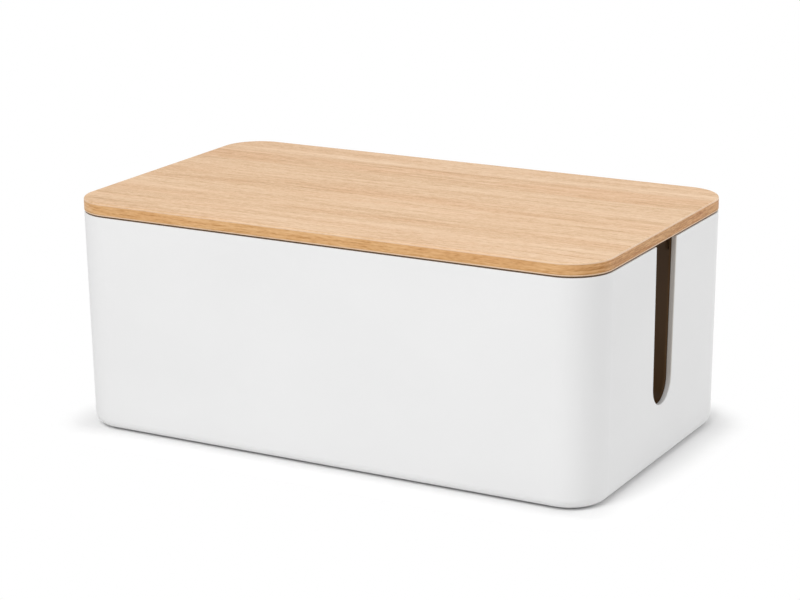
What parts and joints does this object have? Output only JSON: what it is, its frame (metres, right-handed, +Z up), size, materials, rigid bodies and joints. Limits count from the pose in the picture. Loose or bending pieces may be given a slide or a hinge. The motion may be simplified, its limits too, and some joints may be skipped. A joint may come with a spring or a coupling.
{
  "type": "cable management box",
  "caption": "Rectangular cable management box with rounded corners, a U-shaped cable slot in each end, a dark inner liner and a lift-off wooden lid.",
  "frame": {"origin": "middle of the footprint, on the surface that the feet stand on", "axes": "+X along the length towards the right end, +Y to the back, +Z up; the front faces -Y"},
  "size_m": [0.33, 0.19, 0.1365],
  "materials": {
    "white_abs": "white ABS, injection moulded with a fine matt texture",
    "brown_abs": "dark brown ABS, injection moulded, matt",
    "oak_veneer": "oak veneer, straight grain, matt lacquer",
    "oak_edge_band": "oak edge band, grain along the edge, matt lacquer",
    "fibreboard": "medium density fibreboard, cut edges",
    "zinc_steel": "zinc-plated steel",
    "grey_rubber": "dark grey rubber, matt"
  },
  "bodies": {
    "tub": {"outer_shell": "white_abs", "inner_liner": "brown_abs", "foot_front_left": "grey_rubber", "foot_front_right": "grey_rubber", "foot_back_left": "grey_rubber", "foot_back_right": "grey_rubber"},
    "lid": {"lid_core": "fibreboard", "lid_top_veneer": "oak_veneer", "lid_bottom_veneer": "oak_veneer", "lid_edge_band": "oak_edge_band", "lid_frame": "brown_abs", "lid_frame_screws": "zinc_steel"}
  },
  "joints": [
    {"name": "lid_lift", "type": "slide", "parent": "tub", "child": "lid", "axis": [0, 0, 1], "range_m": [0, 0.15]}
  ]
}
